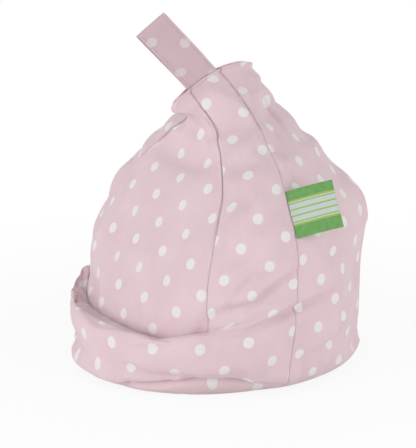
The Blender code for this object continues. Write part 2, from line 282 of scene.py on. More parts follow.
def cotton(name, light, deep, dot_colour):
    """Dotted plain-woven cotton."""
    finish = Finish(name)
    place = flat_place(finish)
    across, along, _ = finish.parts(place)
    weave = woven(across, along)
    slubs = finish.noise(place, SLUB_SCALE, 3.0, 0.6)
    blotches = finish.noise(place, BLOTCH_SCALE, 3.0, 0.55)
    tone = finish.mix(blotches.between(0.3, 0.7), deep, light)
    threads = 0.955 + 0.06 * weave * slubs.between(0.2, 0.8)
    dots = dot_mask(across, along)
    printed = finish.mix(dots, tone, dot_colour)
    height = weave * 0.7 + slubs * 0.6 + dots * 0.25
    return finish.surface(
        Base_Color=finish.shaded(printed, threads),
        Roughness=0.86 - 0.10 * dots,
        Normal=finish.bump(height, THREAD_HEIGHT),
        Sheen_Weight=0.25,
        Sheen_Roughness=0.5,
        Specular_IOR_Level=0.25,
    )


cover_cotton = cotton("dotted cotton", PINK, PINK_DEEP, DOT_WHITE)
# The same cotton again, in the darker strap colours, which paint shade onto the strap.
strap_cotton_painted_shade = cotton("strap cotton with painted shade", STRAP_PAINTED_SHADE_PINK, STRAP_PAINTED_SHADE_PINK_DEEP, STRAP_PAINTED_SHADE_DOT_WHITE)
print("cotton nodes:", len(cover_cotton.node_tree.nodes))

# %% [markdown]
# ## The skin
#
# The cover is made of rings, one above the other: the flat base, the bulging lip, the groove
# behind it, the sloping backrest and the pinched ridge. Each ring may be
# higher or lower at the front than at the side and the back, and that is what makes the
# groove. A smooth curve through the rings gives the height between them. The same rings made
# the packed solids, so the finer cover lies right on them.

# %% The rings of the cover
RIDGE_FRONT = 0.042
RIDGE_BACK = 0.037
RIDGE_SEAM_Y = 0.0075
RIDGE_PEAK_Y = 0.024
RIDGE_HEIGHT = 0.2525
RIDGE_DROP = 6.1                    # metres down for each squared metre away from the peak
RIDGE_HALF = 0.0028
RIDGE_END_ANGLE = math.radians(20)
PINCH_DEPTH = 0.0075                # from the ridge's top down to its foot
PINCH_SPREAD = 0.0008               # how much wider the foot is, on each side
FRONT = math.radians(270)
GROOVE_FULL_ANGLE = math.radians(30)
GROOVE_END_ANGLE = math.radians(92)


class Section(NamedTuple):
    """One level ring; its heights differ at the side, the back and the front."""
    name: str
    half_width: float
    back: float
    front: float
    side_y: float
    side_height: float
    back_height: float
    front_height: float
    back_fullness: float
    front_fullness: float
    steps: int


SECTIONS = (
    Section("base_flat", 0.103, 0.108, 0.105, -0.003, 0, 0, 0, 1.08, 1.06, 1),
    Section("base_skirt", 0.111, 0.116, 0.113, -0.004, 0.0018, 0.0018, 0.0018, 1.09, 1.07, 1),
    Section("base_seam", 0.115, 0.120, 0.117, -0.005, 0.0065, 0.006, 0.0065, 1.10, 1.08, 1),
    Section("base_turn", 0.118, 0.1215, 0.120, -0.006, 0.014, 0.013, 0.014, 1.10, 1.08, 2),
    Section("lower_wall", 0.121, 0.122, 0.121, -0.006, 0.032, 0.032, 0.028, 1.10, 1.10, 2),
    Section("lip_front", 0.123, 0.122, 0.1235, -0.004, 0.050, 0.054, 0.040, 1.10, 1.12, 2),
    Section("lip_top", 0.124, 0.123, 0.1185, -0.002, 0.074, 0.082, 0.062, 1.05, 1.15, 3),
    Section("groove", 0.121, 0.125, 0.100, 0.000, 0.096, 0.106, 0.040, 1.05, 1.12, 2),
    Section("lower_rest", 0.121, 0.126, 0.094, 0.001, 0.120, 0.128, 0.068, 1.05, 1.45, 2),
    Section("middle_rest", 0.108, 0.121, 0.066, 0.003, 0.148, 0.150, 0.116, 1.00, 2.20, 3),
    Section("upper_rest", 0.083, 0.096, 0.036, 0.007, 0.181, 0.176, 0.168, 1.00, 2.20, 3),
    Section("crown", 0.040, 0.060, 0.018, 0.012, 0.215, 0.214, 0.205, 1.00, 1.80, 3),
)
LEVELS = {section.name: number for number, section in enumerate(SECTIONS)}
LEVELS["ridge_foot"] = len(SECTIONS)
LEVELS["ridge"] = len(SECTIONS) + 1
print("rings:", ", ".join(LEVELS))


# %% Smooth curves through the rings
def ease(share):
    """Nought to one with level ends."""
    share = np.clip(share, 0, 1)
    return share * share * (3 - 2 * share)


def front_share(angles):
    """One across the front of the cushion, falling to nought at its sides."""
    off = np.abs((angles - FRONT + math.pi) % math.tau - math.pi)
    return 1 - ease((off - GROOVE_FULL_ANGLE) / (GROOVE_END_ANGLE - GROOVE_FULL_ANGLE))


def section_ring(section, angles):
    """Points round one section."""
    sine = np.sin(angles)
    behind = sine > 0
    fullness = np.where(behind, section.back_fullness, section.front_fullness)
    reach = np.where(behind, section.back - section.side_y, -section.front - section.side_y)
    y = section.side_y + reach * (1 - (1 - np.abs(sine)) ** fullness)
    rise = section.back_height - section.side_height
    height = section.side_height + rise * np.clip(sine, 0, 1) ** 2
    height = height + (section.front_height - height) * front_share(angles)
    return np.stack([section.half_width * np.cos(angles), y, height], axis=-1)


def ridge_height(y):
    """The height of the ridge's top, which is an arch."""
    return RIDGE_HEIGHT - RIDGE_DROP * (y - RIDGE_PEAK_Y) ** 2


def ridge_ring(angles, drop, spread):
    """A long thin ring round the pinched top edge, or round its foot."""
    cosine, sine = np.cos(angles), np.sin(angles)
    reach = np.where(sine > 0, RIDGE_BACK - RIDGE_SEAM_Y, RIDGE_FRONT + RIDGE_SEAM_Y)
    y = RIDGE_SEAM_Y + reach * sine
    squareness = np.sqrt(np.clip(np.abs(cosine) / math.sin(RIDGE_END_ANGLE), 0, 1))
    x = (RIDGE_HALF + spread) * np.sign(cosine) * squareness
    return np.stack([x, y, ridge_height(y) - drop], axis=-1)


def skin_at(levels, angles):
    """Points of the cover, on smooth curves through the rings."""
    rings = [section_ring(section, angles) for section in SECTIONS]
    rings.append(ridge_ring(angles, PINCH_DEPTH, PINCH_SPREAD))
    rings.append(ridge_ring(angles, 0, 0))
    rings = np.stack([2 * rings[0] - rings[1]] + rings + [2 * rings[-1] - rings[-2]])
    lower = np.clip(np.floor(levels).astype(int), 0, len(rings) - 4)
    share = (levels - lower)[:, None]
    a, b, c, d = (rings[lower + step, np.arange(len(angles))] for step in range(4))
    bend = (2 * a - 5 * b + 4 * c - d) * share ** 2 + (3 * b - a - 3 * c + d) * share ** 3
    return 0.5 * (2 * b + (c - a) * share + bend)


ridge_top = ridge_ring(np.array([FRONT]), 0, 0)[0]
print("front end of the ridge, in mm:", np.round(ridge_top * 1000, 1))

# %% [markdown]
# ## A fine grid over the skin
#
# Cloth needs a mesh of small, even squares. This grid has a point every four millimetres or
# so. The rows are smoothed a little, because a stuffed lip has no corners; the base and the
# ridge keep their form.

# %% The grid
CAD_COLUMNS = 64
FINER = 3                           # grid steps for each step of the packed solids
COLUMNS = CAD_COLUMNS * FINER
ROUNDING_ROUNDS, ROUNDING_SHARE = 12, 0.6
BACKREST_HALF_ANGLE = math.radians(50.7)
SEAM_LEAN, LEAN_SPREAD = math.radians(13), math.radians(35)
RIDGE_LEAN = math.radians(5)
LEAN_DOWN_TO = 1.5                  # levels below the crown


def leaning(angles, level):
    """Angles of the columns; at the crown and the ridge the seams lean to the front."""
    off = (angles - FRONT + math.pi) % math.tau - math.pi
    above = level - LEVELS["crown"]
    lean = SEAM_LEAN * ease(1 - (above if above > 0 else -above / LEAN_DOWN_TO))
    beside = ease(1 - np.abs(np.abs(off) - BACKREST_HALF_ANGLE) / LEAN_SPREAD)
    side = RIDGE_LEAN * ease(above - 0.6) * np.sin(off) ** 2
    return angles - np.sign(off) * (lean * beside + side)


def grid_levels():
    """The level number of every row."""
    levels = []
    for number, section in enumerate(SECTIONS):
        steps = section.steps * FINER
        levels += [number + step / steps for step in range(steps)]
    first = LEVELS["ridge_foot"]
    return np.array(levels + [first + step / FINER for step in range(FINER + 1)])


def row_of(name):
    """The grid row that lies on a ring."""
    return int(np.flatnonzero(np.isclose(grid_levels(), LEVELS[name]))[0])


def smooth_skin():
    """The cover's points before it has any fold, as rows of columns."""
    angles = np.arange(COLUMNS) * math.tau / COLUMNS
    skin = np.stack([
        skin_at(np.full(COLUMNS, level), leaning(angles, level)) for level in grid_levels()
    ])
    free = slice(row_of("base_turn") + FINER, row_of("ridge_foot"))
    for _ in range(ROUNDING_ROUNDS):
        beside = (skin[free.start - 1:free.stop - 1] + skin[free.start + 1:free.stop + 1]) / 2
        skin[free] += ROUNDING_SHARE * (beside - skin[free])
    return skin


def outward(skin):
    """Unit normals of a grid; the flat of the base faces straight down."""
    around = np.roll(skin, -1, axis=1) - np.roll(skin, 1, axis=1)
    normals = np.cross(around, np.gradient(skin, axis=0))
    normals /= np.linalg.norm(normals, axis=-1, keepdims=True)
    normals[0] = (0, 0, -1)
    return normals


skin = smooth_skin()
print("grid:", skin.shape[0], "rows of", skin.shape[1], "points")

# %% [markdown]
# ## Cutting the panels
#
# The seams follow lines of the grid, so a panel is simply a set of its squares: the backrest,
# the piece that wraps round the lip and both sides, the back, and the round base. The base
# lies flat, and the other three are curved, so they need a flat pattern of their own.

# %% Panels
def backrest_columns():
    """The backrest's columns, on the same seams as the packed solids."""
    first, last = (
        round((FRONT + side * BACKREST_HALF_ANGLE) / math.tau * CAD_COLUMNS)
        for side in (-1, 1)
    )
    return range(first * FINER, last * FINER)


def panel_squares():
    """Every square of each panel, by the row and column of its first corner."""
    top, groove, seam = row_of("ridge"), row_of("groove"), row_of("base_seam")
    backrest = {(row, column) for row in range(groove, top) for column in backrest_columns()}
    above_base = [(row, column) for row in range(seam, top) for column in range(COLUMNS)]
    front = {square for square in above_base if square[1] >= COLUMNS // 2}
    return {
        "backrest_panel": sorted(backrest),
        "wrap_panel": sorted(front - backrest),
        "back_panel": sorted(set(above_base) - front),
        "base_panel": [(row, column) for row in range(seam) for column in range(COLUMNS)],
    }


def corners_of(square, columns=COLUMNS):
    """A square's four corners, anticlockwise from outside."""
    row, column = square
    after = (column + 1) % columns
    return ((row, column), (row, after), (row + 1, after), (row + 1, column))


squares = panel_squares()
print("squares of each panel:", {name: len(found) for name, found in squares.items()})

# %% [markdown]
# ## Flat patterns
#
# A cloth panel was cut flat, with its dots printed already, so every point of it needs a
# place on the flat cloth, in metres. The threads of this cover run up the cushion. So one
# coordinate is the length up a column of the grid, and the other is the length along a row
# from the column that the panel's threads follow. A panel that reaches round both sides
# follows one column on the right and its mirror image on the left, and blends them midway.
# Last, the panel is turned and shifted to the place on the cloth that it was cut from.
# The backrest and the base are simpler: one is nearly a cylinder, the other nearly flat.

# %% Flat patterns
MEAN_RADIUS = 0.122                 # of the wall, for lengths between two columns
BLEND_SPREAD = 60                   # degrees over which the two sides' lengths blend


class Lay(NamedTuple):
    """How a panel lies on the dotted cloth."""
    middle: float                   # the angle of its middle, in degrees
    thread: float                   # how far from there its threads follow a column
    turn: float                     # degrees
    across: float
    along: float
    stretch: float = 1.0            # how much wider it was cut than it is


LAYS = {
    "wrap_panel": Lay(270, 80, -5.1, 0.01729, 0.00915),
    "back_panel": Lay(90, 70, 0, 0.0396, 0.0102, 1.12),
}
BASE_TURN, BASE_SHIFT = math.radians(20), (0.0049, -0.0098)
BACKREST_SLOPE = np.array([0, 0.445, 0.895])
BACKREST_SHIFT = (0.004, 0.012)


def lengths_up(skin):
    """How far up its column each point lies, from the base seam."""
    steps = np.linalg.norm(np.diff(skin, axis=0), axis=-1)
    up = np.concatenate([np.zeros((1, skin.shape[1])), np.cumsum(steps, axis=0)])
    return up - up[row_of("base_seam")]


def lengths_along(skin, degrees):
    """How far along its row each point lies, from the column at an angle."""
    columns = skin.shape[1]
    first = round(degrees / 360 * columns)
    steps = np.linalg.norm(np.roll(skin, -1, axis=1) - skin, axis=-1)
    steps = np.roll(steps, -first, axis=1)
    forward = np.cumsum(steps, axis=1) - steps
    whole = steps.sum(axis=1, keepdims=True)
    signed = np.where(np.arange(columns) < columns / 2, forward, forward - whole)
    start = math.radians((degrees + 180) % 360 - 180) * MEAN_RADIUS
    return np.roll(signed, first, axis=1) + start


def flat_places(skin, lay):
    """The place on the dotted cloth of every point of the grid, for one panel."""
    degrees = np.arange(skin.shape[1]) * 360 / skin.shape[1]
    off = (degrees - lay.middle + 180) % 360 - 180
    share = ease(off / BLEND_SPREAD + 0.5)
    here = lengths_along(skin, lay.middle + lay.thread)
    there = lengths_along(skin, lay.middle - lay.thread)
    across = (here * share + there * (1 - share)) * lay.stretch
    flat = np.stack([across, lengths_up(skin)], axis=-1)
    return turned(flat, math.radians(lay.turn)) + (lay.across, lay.along)


def backrest_places(skin):
    """The backrest is nearly a cylinder, whose lines run up its slope."""
    along = skin @ BACKREST_SLOPE
    level = skin - along[..., None] * BACKREST_SLOPE
    across = lengths_along(level, math.degrees(FRONT))
    return np.stack([across, along], axis=-1) + BACKREST_SHIFT


def base_places(skin):
    """The place of every point on the round base's cloth, by its length from the middle."""
    level = skin[..., :2] / np.linalg.norm(skin[..., :2], axis=-1, keepdims=True)
    up = lengths_up(skin) - lengths_up(skin)[0]
    reach = np.linalg.norm(skin[0, :, :2], axis=-1) + up
    return turned(level * reach[..., None], BASE_TURN) + BASE_SHIFT


def turned(flat, angle):
    """Flat points turned anticlockwise."""
    cosine, sine = math.cos(angle), math.sin(angle)
    return flat @ np.array([[cosine, sine], [-sine, cosine]])


patterns = {name: flat_places(skin, lay) for name, lay in LAYS.items()}
patterns["backrest_panel"] = backrest_places(skin)
patterns["base_panel"] = base_places(skin)
for name, flat in patterns.items():
    used = np.array([flat[square] for square in squares[name]])
    print(name, "was cut from", np.round(np.ptp(used, axis=0) * 1000), "mm of cloth")

# %% [markdown]
# ## Broad folds
#
# The beads leave the cover slack in some places, and there it creases. The deepest fold runs
# from the end of the groove into the side, because the groove pulls the cloth down there.
# Each fold is a path over the skin with a depth and a width, and the cloth sinks along it, or
# stands proud where the depth is below nought.

# %% Folds along paths
class Fold(NamedTuple):
    """A crease: angles in degrees and levels along it, its depth and its width."""
    path: tuple
    depth: float
    width: float


def on(level_name, share=0.0):
    """A level number, a share of the way to the next section."""
    return LEVELS[level_name] + share


def crease(depth, width, *places):
    """A fold through places given as an angle, a level's name and a share of the next."""
    return Fold(tuple((angle, on(name, share)) for angle, name, share in places), depth, width)


def fold_line(skin, levels, fold, samples=60):
    """Points of the skin along a fold's path."""
    knots = np.linspace(0, 1, len(fold.path))
    shares = np.linspace(0, 1, samples)
    columns = np.interp(shares, knots, [place[0] for place in fold.path]) / 360 * skin.shape[1]
    path_levels = np.interp(shares, knots, [place[1] for place in fold.path])
    rows = np.interp(path_levels, levels, np.arange(len(levels)))
    row, column = np.floor(rows).astype(int), np.floor(columns).astype(int)
    up, on_right = (rows - row)[:, None], (columns - column)[:, None]
    above, beside = np.minimum(row + 1, len(levels) - 1), (column + 1) % skin.shape[1]
    column %= skin.shape[1]
    lower = skin[row, column] * (1 - on_right) + skin[row, beside] * on_right
    upper = skin[above, column] * (1 - on_right) + skin[above, beside] * on_right
    return lower * (1 - up) + upper * up


def fold_depths(skin, levels, fold):
    """How far each grid point sinks into one fold, which fades at its ends."""
    apart = np.full(skin.shape[:2], np.inf)
    along = np.zeros(skin.shape[:2])
    line = fold_line(skin, levels, fold)
    for number, place in enumerate(line):
        distance = np.linalg.norm(skin - place, axis=-1)
        nearer = distance < apart
        apart[nearer], along[nearer] = distance[nearer], number / (len(line) - 1)
    fade = 1 - (2 * along - 1) ** 4
    return fold.depth * fade * np.exp(-(apart / fold.width) ** 2)


def both_sides(folds):
    """Folds and their mirror images on the other side of the cushion."""
    return folds + tuple(
        fold._replace(path=tuple((180 - angle, level) for angle, level in fold.path))
        for fold in folds
    )


def softened(directions, rounds=12):
    """Directions averaged with their neighbours, so that a fold sinks in one piece."""
    for _ in range(rounds):
        ends = np.concatenate([directions[:1], directions, directions[-1:]])
        beside = np.roll(directions, 1, axis=1) + np.roll(directions, -1, axis=1)
        directions = directions * 2 + beside + ends[:-2] + ends[2:]
        directions = directions / np.linalg.norm(directions, axis=-1, keepdims=True)
    return directions


def free_share(levels):
    """One where the cloth is free to move, nought on the base and along the ridge."""
    above_base = ease((levels - on("base_skirt")) / 0.8)
    below_ridge = 1 - ease((levels - on("crown", 0.8)) / 0.6)
    return (above_base * below_ridge)[:, None, None]


def folded(skin, levels, folds):
    """A skin that has sunk along its folds."""
    depths = sum(fold_depths(skin, levels, fold) for fold in folds)
    return skin - depths[..., None] * free_share(levels) * softened(outward(skin))


print("a fold runs through levels 0 to", LEVELS["ridge"])

# %% Broad folds
SIDE_FOLDS = (
    crease(0.0040, 0.0095, (-36, "groove", 0.1), (-20, "groove", 0.05), (-2, "groove", 0.1)),
    crease(0.0022, 0.009, (-36, "groove", 0.8), (-20, "groove", 0.7), (-3, "groove", 0.7)),
    crease(0.0028, 0.0085, (-24, "lip_front", 0.6), (0, "lip_top", 0.1), (18, "lip_top", 0.3)),
    crease(0.0020, 0.009, (2, "base_turn", 0.6), (13, "lower_wall", 0), (25, "lower_wall", 0.3)),
    crease(0.0022, 0.008, (-66, "base_turn", 0), (-46, "base_turn", 0.3), (-16, "base_seam", 0.9)),
    crease(0.0035, 0.010, (33, "crown", 0.4), (18, "upper_rest", 0.9), (5, "upper_rest", 0.1)),
    crease(0.0035, 0.009, (-42, "crown", 0.8), (-41, "crown", 0.3), (-32, "upper_rest", 0.8)),
    crease(-0.0030, 0.014, (50, "middle_rest", 0.5), (53, "lower_rest", 0.7), (47, "lower_rest", 0.1)),
)
BACK_FOLDS = (
    crease(0.0040, 0.010, (74, "crown", 0.8), (68, "crown", 0), (60, "upper_rest", 0.2)),
    crease(0.0040, 0.010, (106, "crown", 0.8), (113, "crown", 0), (122, "upper_rest", 0.3)),
    crease(0.0030, 0.009, (90, "crown", 0.7), (92, "upper_rest", 0.7), (95, "upper_rest", 0.1)),
)
BROAD_SHAPES = (
    crease(-0.0030, 0.017, (5, "crown", 0.35), (90, "crown", 0.35), (175, "crown", 0.35)),
    crease(-0.0018, 0.014, (5, "upper_rest", 0.8), (90, "upper_rest", 0.8), (175, "upper_rest", 0.8)),
    crease(0.0064, 0.024, (0, "middle_rest", 0.7), (90, "middle_rest", 0.7), (180, "middle_rest", 0.7)),
    *(
        crease(0.0080, 0.035, (angle, "base_turn", 0), (angle, "lip_front", 0), (angle, "groove", 0.8))
        for angle in (57, 123)
    ),
    crease(0.0045, 0.032, (237, "base_turn", 0), (237, "lip_front", 0), (237, "groove", 0)),
    crease(-0.0060, 0.012, (243, "base_seam", 0.4), (266, "base_seam", 0.3), (290, "base_seam", 0.4)),
)
broad_folds = both_sides(SIDE_FOLDS) + BACK_FOLDS + BROAD_SHAPES
skin = folded(skin, grid_levels(), broad_folds)
print("broad folds:", len(broad_folds))

# %% [markdown]
# ## The lower edge and the end of the ridge
#
# The weight of the beads decides how the cushion stands. At the front corners the wall is
# drawn up a little, so that more of the base shows below its seam, and at the sides the base
# is tucked under. At the top, the ridge's rear corner was turned in before it was sewn.

# %% The lower edge and the end of the ridge
SEAM_LIFT = 0.0115                  # how far the base shows below the wall, at its highest
LIFT_ANGLE, LIFT_SPREAD = -33, 38   # degrees
TUCK_ANGLE, TUCK_SPREAD = 0, 75
TUCK = 0.09                         # the share by which the base is drawn in there
RIDGE_END_DROP, RIDGE_END_INSET = 0.0012, 0.0014


def hump(angles, middle, spread):
    """One at an angle and its mirror image, nought beyond the spread."""
    off = np.minimum(*(
        np.abs((np.degrees(angles) - place + 180) % 360 - 180) for place in (middle, 180 - middle)
    ))
    return ease(1 - off / spread)


def lower_edge(skin, levels):
    """The wall rides up over the base at the front corners, and tucks under at the sides."""
    angles = np.arange(skin.shape[1]) * math.tau / skin.shape[1]
    near_seam = ease(levels / on("base_seam")) * (1 - ease((levels - on("base_seam")) / 2))
    lift = SEAM_LIFT * np.outer(near_seam, hump(angles, LIFT_ANGLE, LIFT_SPREAD))
    below = 1 - ease(levels / on("base_turn"))
    tuck = 1 - TUCK * np.outer(below, hump(angles, TUCK_ANGLE, TUCK_SPREAD))
    shaped = skin * np.stack([tuck, tuck, np.ones_like(tuck)], axis=-1)
    shaped[..., 2] += lift
    return shaped


def rounded_ridge(skin, levels):
    """The rear end of the pinched ridge, where its corner is turned in."""
    rear = ease((skin[..., 1] - RIDGE_PEAK_Y) / (RIDGE_BACK - RIDGE_PEAK_Y))
    skin = skin.copy()
    skin[..., 2] -= RIDGE_END_DROP * rear * ease(levels - on("crown", 0.6))[:, None]
    skin[..., 1] -= RIDGE_END_INSET * rear * ease(levels - on("crown", 0.9))[:, None]
    return skin


skin = rounded_ridge(lower_edge(skin, grid_levels()), grid_levels())
seam_heights = skin[row_of("base_seam"), :, 2] * 1000
print("the base seam's height varies by", round(float(np.ptp(seam_heights)), 1), "mm")

# %% [markdown]
# ## Wrinkles
#
# The beads press the cover outwards while the seams hold it back, and a sewn edge is always
# a little shorter than the cloth beside it. Blender's cloth simulation gives just that: the
# whole cover becomes one closed bag under pressure, its cloth is let out by a few percent,
# and the seams, the ridge and the base are pinned. A cap on the movement keeps the size.

# %% Cloth simulation
LET_OUT = 0.06                      # how much longer the cloth is than its seams
PRESSURE = 1.0
BENDING = 0.05
SIMULATED_FRAMES = 20


def bag_faces(rows):
    """Every square of the grid, with a strip across the ridge and a fan under the base."""
    faces = [
        [row * COLUMNS + column for row, column in corners_of(square)]
        for square in np.ndindex(rows - 1, COLUMNS)
    ]
    top = (rows - 1) * COLUMNS
    front = round(FRONT / math.tau * COLUMNS)
    for step in range(COLUMNS // 2):
        right = [top + (front + count) % COLUMNS for count in (step, step + 1)]
        left = [top + (front - count) % COLUMNS for count in (step + 1, step)]
        faces.append(list(dict.fromkeys(right + left)))
    middle = rows * COLUMNS
    return faces + [[(column + 1) % COLUMNS, column, middle] for column in range(COLUMNS)]


def pinned_corners():
    """Points on a seam, on the ridge or on the base, where the cloth can't move."""
    foot, seam, groove = row_of("ridge_foot"), row_of("base_seam"), row_of("groove")
    edges = backrest_columns()
    seams = {(row, column) for row in range(seam, foot) for column in (0, COLUMNS // 2)}
    seams |= {(row, column) for row in range(groove, foot) for column in (edges.start, edges.stop)}
    seams |= {(groove, column) for column in range(edges.start, edges.stop + 1)}
    ends = [*range(seam + 1), *range(foot, len(grid_levels()))]
    return seams | {(row, column) for row in ends for column in range(COLUMNS)}


def cloth_on(bag):
    """Light cotton under pressure, a little too large for its seams."""
    cloth = bag.modifiers.new("cloth", "CLOTH")
    settings = cloth.settings
    settings.quality = 6
    settings.mass = 0.2
    settings.tension_stiffness = settings.compression_stiffness = 12
    settings.shear_stiffness = 4
    settings.bending_stiffness = BENDING
    settings.air_damping = 2.0
    settings.vertex_group_mass = "seams"
    settings.shrink_min = -LET_OUT
    settings.use_pressure = True
    settings.uniform_pressure_force = PRESSURE
    settings.effector_weights.gravity = 0
    cloth.point_cache.frame_start, cloth.point_cache.frame_end = 1, SIMULATED_FRAMES


def plain_object(name, points, faces):
    """An object from points and the faces between them."""
    mesh = bpy.data.meshes.new(name)
    mesh.from_pydata([tuple(point) for point in points], [], faces)
    return add_object(name, mesh)


def simulated(skin):
    """The skin after the cloth has settled under the beads' pressure."""
    rows = len(skin)
    points = np.concatenate([skin.reshape(-1, 3), np.zeros((1, 3))])
    bag = plain_object("bag", points, bag_faces(rows))
    pins = bag.vertex_groups.new(name="seams")
    pins.add([row * COLUMNS + column for row, column in pinned_corners()], 1.0, "REPLACE")
    pins.add([rows * COLUMNS], 1.0, "REPLACE")
    cloth_on(bag)
    for number in range(1, SIMULATED_FRAMES + 1):
        bpy.context.scene.frame_set(number)
    settled = bag.evaluated_get(bpy.context.evaluated_depsgraph_get()).data
    moved = np.zeros(len(points) * 3, dtype=np.float32)
    settled.vertices.foreach_get("co", moved)
    bpy.data.objects.remove(bag, do_unlink=True)
    bpy.context.scene.frame_set(1)
    return moved.reshape(-1, 3)[:-1].reshape(skin.shape).astype(float)


print("points held in place:", len(pinned_corners()), "of", len(grid_levels()) * COLUMNS)

# %% Wrinkles of the settled cloth
MOST_MOVEMENT = 0.0050
SWELLING_LEFT_OUT = 0.85
CALMING_ROUNDS, SWELLING_ROUNDS = 2, 60


def blurred(table, rounds):
    """A table averaged with its neighbours; it closes on itself from side to side."""
    for _ in range(rounds):
        ends = np.concatenate([table[:1], table, table[-1:]])
        beside = np.roll(table, 1, axis=1) + np.roll(table, -1, axis=1)
        table = (table * 2 + beside + ends[:-2] + ends[2:]) / 6
    return table


def wrinkled(skin, moved):
    """The skin with the folds of the settled cloth, but without most of its swelling."""
    shift = blurred(moved - skin, CALMING_ROUNDS)
    shift -= SWELLING_LEFT_OUT * blurred(shift, SWELLING_ROUNDS)
    length = np.linalg.norm(shift, axis=-1, keepdims=True)
    shift *= MOST_MOVEMENT * np.tanh(length / MOST_MOVEMENT) / np.maximum(length, 1e-9)
    return skin + shift * free_share(grid_levels())


settled = wrinkled(skin, simulated(skin))
far = np.linalg.norm(settled - skin, axis=-1)
print("cloth moved by", round(float(far.max()) * 1000, 1), "mm at most")
skin = settled

# %% [markdown]
# ## Crisp folds
#
# Sharp little creases need more points than the simulation has, so the grid is made twice as
# fine, on smooth curves through its points. Then the creases that show best are pressed in.

# %% Crisp folds
DENSER = 2
CRISP_FOLDS = (
    crease(0.0036, 0.0030, (-42, "groove", 0.6), (-31, "groove", 0.5), (-20, "groove", 0.05),
           (-9, "groove", 0.2), (2, "groove", 0.5)),
    crease(-0.0018, 0.0045, (-42, "groove", 0.85), (-31, "groove", 0.75), (-20, "groove", 0.3),
           (-9, "groove", 0.4), (-1, "groove", 0.6)),
    crease(0.0015, 0.0030, (-31, "groove", 0.55), (-24, "groove", 0.8), (-17, "groove", 0.98)),
    crease(0.0036, 0.0029, (-38, "lip_front", 0.8), (-20, "lip_front", 0.65), (-7, "lip_front", 0.98),
           (5, "lip_top", 0.15), (18, "lip_top", 0.35)),
    crease(-0.0017, 0.0042, (-38, "lip_top", 0), (-20, "lip_front", 0.9), (-7, "lip_top", 0.25),
           (5, "lip_top", 0.4), (16, "lip_top", 0.6)),
    crease(0.0022, 0.0028, (-63, "lip_top", 0.4), (-55, "lip_front", 0.98), (-45, "lip_front", 0.45)),
    crease(0.0020, 0.0028, (-67, "lower_wall", 0.95), (-56, "lip_front", 0.2), (-45, "lip_front", 0.4)),
    crease(0.0023, 0.0030, (14, "lower_wall", 0.05), (22, "lower_wall", 0.45), (31, "lower_wall", 0.9)),
    crease(0.0026, 0.0030, (38, "crown", 0.5), (30, "crown", 0), (24, "upper_rest", 0.5)),
    crease(-0.0013, 0.0035, (1.5, "upper_rest", 0.5), (3, "upper_rest", 0), (7, "middle_rest", 0.4)),
    crease(0.0050, 0.0029, (-72, "base_seam", 0), (-40, "base_seam", 0), (-6, "base_seam", 0)),
)


def between_rows(table):
    """A table with a new row halfway between each two, on a smooth curve."""
    ends = np.concatenate([2 * table[:1] - table[1:2], table, 2 * table[-1:] - table[-2:-1]])
    middle = (9 * (ends[1:-2] + ends[2:-1]) - ends[:-3] - ends[3:]) / 16
    dense = np.empty((2 * len(table) - 1, *table.shape[1:]))
    dense[0::2], dense[1::2] = table, middle
    return dense


def between_columns(table):
    """A table that closes on itself, with a new column halfway between each two."""
    near = table + np.roll(table, -1, axis=1)
    far = np.roll(table, 1, axis=1) + np.roll(table, -2, axis=1)
    dense = np.empty((table.shape[0], 2 * table.shape[1], table.shape[2]))
    dense[:, 0::2], dense[:, 1::2] = table, (9 * near - far) / 16
    return dense


fine_skin = between_columns(between_rows(skin))
fine_levels = between_rows(grid_levels())
crisp_folds = both_sides(CRISP_FOLDS)
fine_skin = folded(fine_skin, fine_levels, crisp_folds)
print("fine grid:", fine_skin.shape[:2], "with", len(crisp_folds), "crisp folds")

# %% [markdown]
# ## Sewing the cover
#
# A seam on such a cover is sewn from the inside and turned out, so no stitch shows: the two
# edges roll inwards side by side and draw a fine dark line. Each panel is built from the
# fine grid with its pattern as coordinates. Its rim is drawn back a little, and three narrow
# strips roll over the edge and down into the seam.

# %% Panels of the fine grid
def panel_mesh(found, skin, normals, flat):
    """A panel's squares on the fine grid, each with its places on the flat cloth."""
    bm = bmesh.new()
    layer = bm.loops.layers.uv.new(CUTTING)
    verts = {}
    for row, column in found:
        for i, j in np.ndindex(DENSER, DENSER):
            corners = corners_of((row * DENSER + i, column * DENSER + j), skin.shape[1])
            for corner in corners:
                if corner not in verts:
                    verts[corner] = bm.verts.new(skin[corner])
                    verts[corner].normal = normals[corner]
            face = bm.faces.new([verts[corner] for corner in corners])
            for loop, corner in zip(face.loops, corners):
                loop[layer].uv = flat[corner]
    return bm, verts


def base_net(bm, ring):
    """Closes the flat of the base with a square net, whose border is the ring of the grid."""
    layer = bm.loops.layers.uv[CUTTING]
    side = len(ring) // 4
    ring = ring[side // 2:] + ring[:side // 2]
    net = {}
    for step in range(side):
        net[step, 0] = ring[step]
        net[side, step] = ring[side + step]
        net[side - step, side] = ring[2 * side + step]
        net[0, side - step] = ring[3 * side + step]
    border = {place: vert.co.copy() for place, vert in net.items()}
    for i, j in np.ndindex(side + 1, side + 1):
        if (i, j) not in net:
            net[i, j] = bm.verts.new(inside_net(border, i, j, side))
    for i, j in np.ndindex(side, side):
        face = bm.faces.new((net[i, j], net[i, j + 1], net[i + 1, j + 1], net[i + 1, j]))
        for loop in face.loops:
            loop[layer].uv = turned(np.array(loop.vert.co.xy), BASE_TURN) + BASE_SHIFT


def inside_net(border, i, j, side):
    """A point of a net, worked out from the four borders opposite it."""
    u, v = i / side, j / side
    across = border[0, j] * (1 - u) + border[side, j] * u
    along = border[i, 0] * (1 - v) + border[i, side] * v
    corners = (
        (border[0, 0] * (1 - v) + border[0, side] * v) * (1 - u)
        + (border[side, 0] * (1 - v) + border[side, side] * v) * u
    )
    return across + along - corners


fine_normals = softened(outward(fine_skin), rounds=4)
print("normals for", fine_normals.shape[0] * fine_normals.shape[1], "points")

